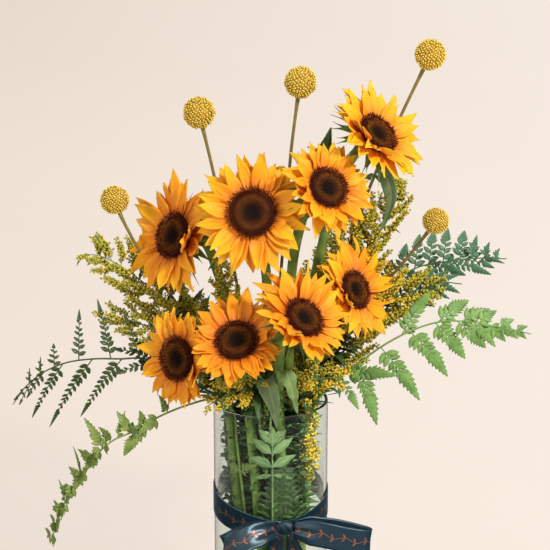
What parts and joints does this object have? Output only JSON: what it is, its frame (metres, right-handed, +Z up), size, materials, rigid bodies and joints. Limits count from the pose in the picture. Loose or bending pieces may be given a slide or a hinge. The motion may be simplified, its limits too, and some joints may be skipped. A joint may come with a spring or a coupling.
{
  "type": "sunflowers in a vase",
  "caption": "Sunflowers, craspedia balls, goldenrod and fern in a clear cylinder vase with a satin bow.",
  "frame": {"origin": "centre of the vase's flat underside, where it rests", "axes": "+Z up along the vase's axis, -Y towards the front, where the bow is tied and the flowers face, +X to the right seen from the front"},
  "size_m": [0.4979, 0.1971, 0.5917],
  "materials": {
    "clear_glass": "clear polished glass, faintly grey-green",
    "ribbon_satin": "dark navy-teal satin with a small copper leaf-sprig print",
    "sunflower_petal": "matt golden yellow, orange towards the base",
    "sunflower_disc": "dark brown florets with a near-black centre",
    "flower_stem": "matt fresh green, slightly rough",
    "craspedia_ball": "matt mustard yellow, close tiny florets",
    "craspedia_stem": "matt tan-brown",
    "fern_leaf": "semi-matt leaf green",
    "goldenrod_bud": "tiny yellow buds on green stalks",
    "broad_leaf": "semi-matt grey-green leaf"
  },
  "bodies": {
    "root": {"vase": "clear_glass", "ribbon_band": "ribbon_satin", "bow_knot": "ribbon_satin", "bow_loop_right": "ribbon_satin", "bow_loop_left": "ribbon_satin", "bow_tail_left": "ribbon_satin", "bow_tail_right": "ribbon_satin", "sunflower_top_right_disc": "sunflower_disc", "sunflower_top_right_petals": "sunflower_petal", "sunflower_top_right_stem": "flower_stem", "sunflower_upper_right_disc": "sunflower_disc", "sunflower_upper_right_petals": "sunflower_petal", "sunflower_upper_right_stem": "flower_stem", "sunflower_centre_disc": "sunflower_disc", "sunflower_centre_petals": "sunflower_petal", "sunflower_centre_stem": "flower_stem", "sunflower_upper_left_disc": "sunflower_disc", "sunflower_upper_left_petals": "sunflower_petal", "sunflower_upper_left_stem": "flower_stem", "sunflower_low_left_disc": "sunflower_disc", "sunflower_low_left_petals": "sunflower_petal", "sunflower_low_left_stem": "flower_stem", "sunflower_low_centre_disc": "sunflower_disc", "sunflower_low_centre_petals": "sunflower_petal", "sunflower_low_centre_stem": "flower_stem", "sunflower_low_right_disc": "sunflower_disc", "sunflower_low_right_petals": "sunflower_petal", "sunflower_low_right_stem": "flower_stem", "sunflower_right_disc": "sunflower_disc", "sunflower_right_petals": "sunflower_petal", "sunflower_right_stem": "flower_stem", "craspedia_far_left_stem": "craspedia_stem", "craspedia_far_left_head": "craspedia_ball", "craspedia_left_stem": "craspedia_stem", "craspedia_left_head": "craspedia_ball", "craspedia_middle_stem": "craspedia_stem", "craspedia_middle_head": "craspedia_ball", "craspedia_top_right_stem": "craspedia_stem", "craspedia_top_right_head": "craspedia_ball", "craspedia_right_stem": "craspedia_stem", "craspedia_right_head": "craspedia_ball", "fern_right_long": "fern_leaf", "fern_right_back": "fern_leaf", "fern_right_mid": "fern_leaf", "fern_left_upper": "fern_leaf", "fern_left_lower": "fern_leaf", "fern_in_vase": "fern_leaf", "sprig_in_vase": "broad_leaf", "leaf_over_rim": "broad_leaf", "leaf_lobed": "broad_leaf", "goldenrod_left_upper": "goldenrod_bud", "goldenrod_left_low": "goldenrod_bud", "goldenrod_centre": "goldenrod_bud", "goldenrod_right_upper": "goldenrod_bud", "goldenrod_right_low": "goldenrod_bud", "goldenrod_front_left": "goldenrod_bud", "goldenrod_in_vase": "goldenrod_bud", "goldenrod_front_right": "goldenrod_bud"}
  },
  "joints": []
}
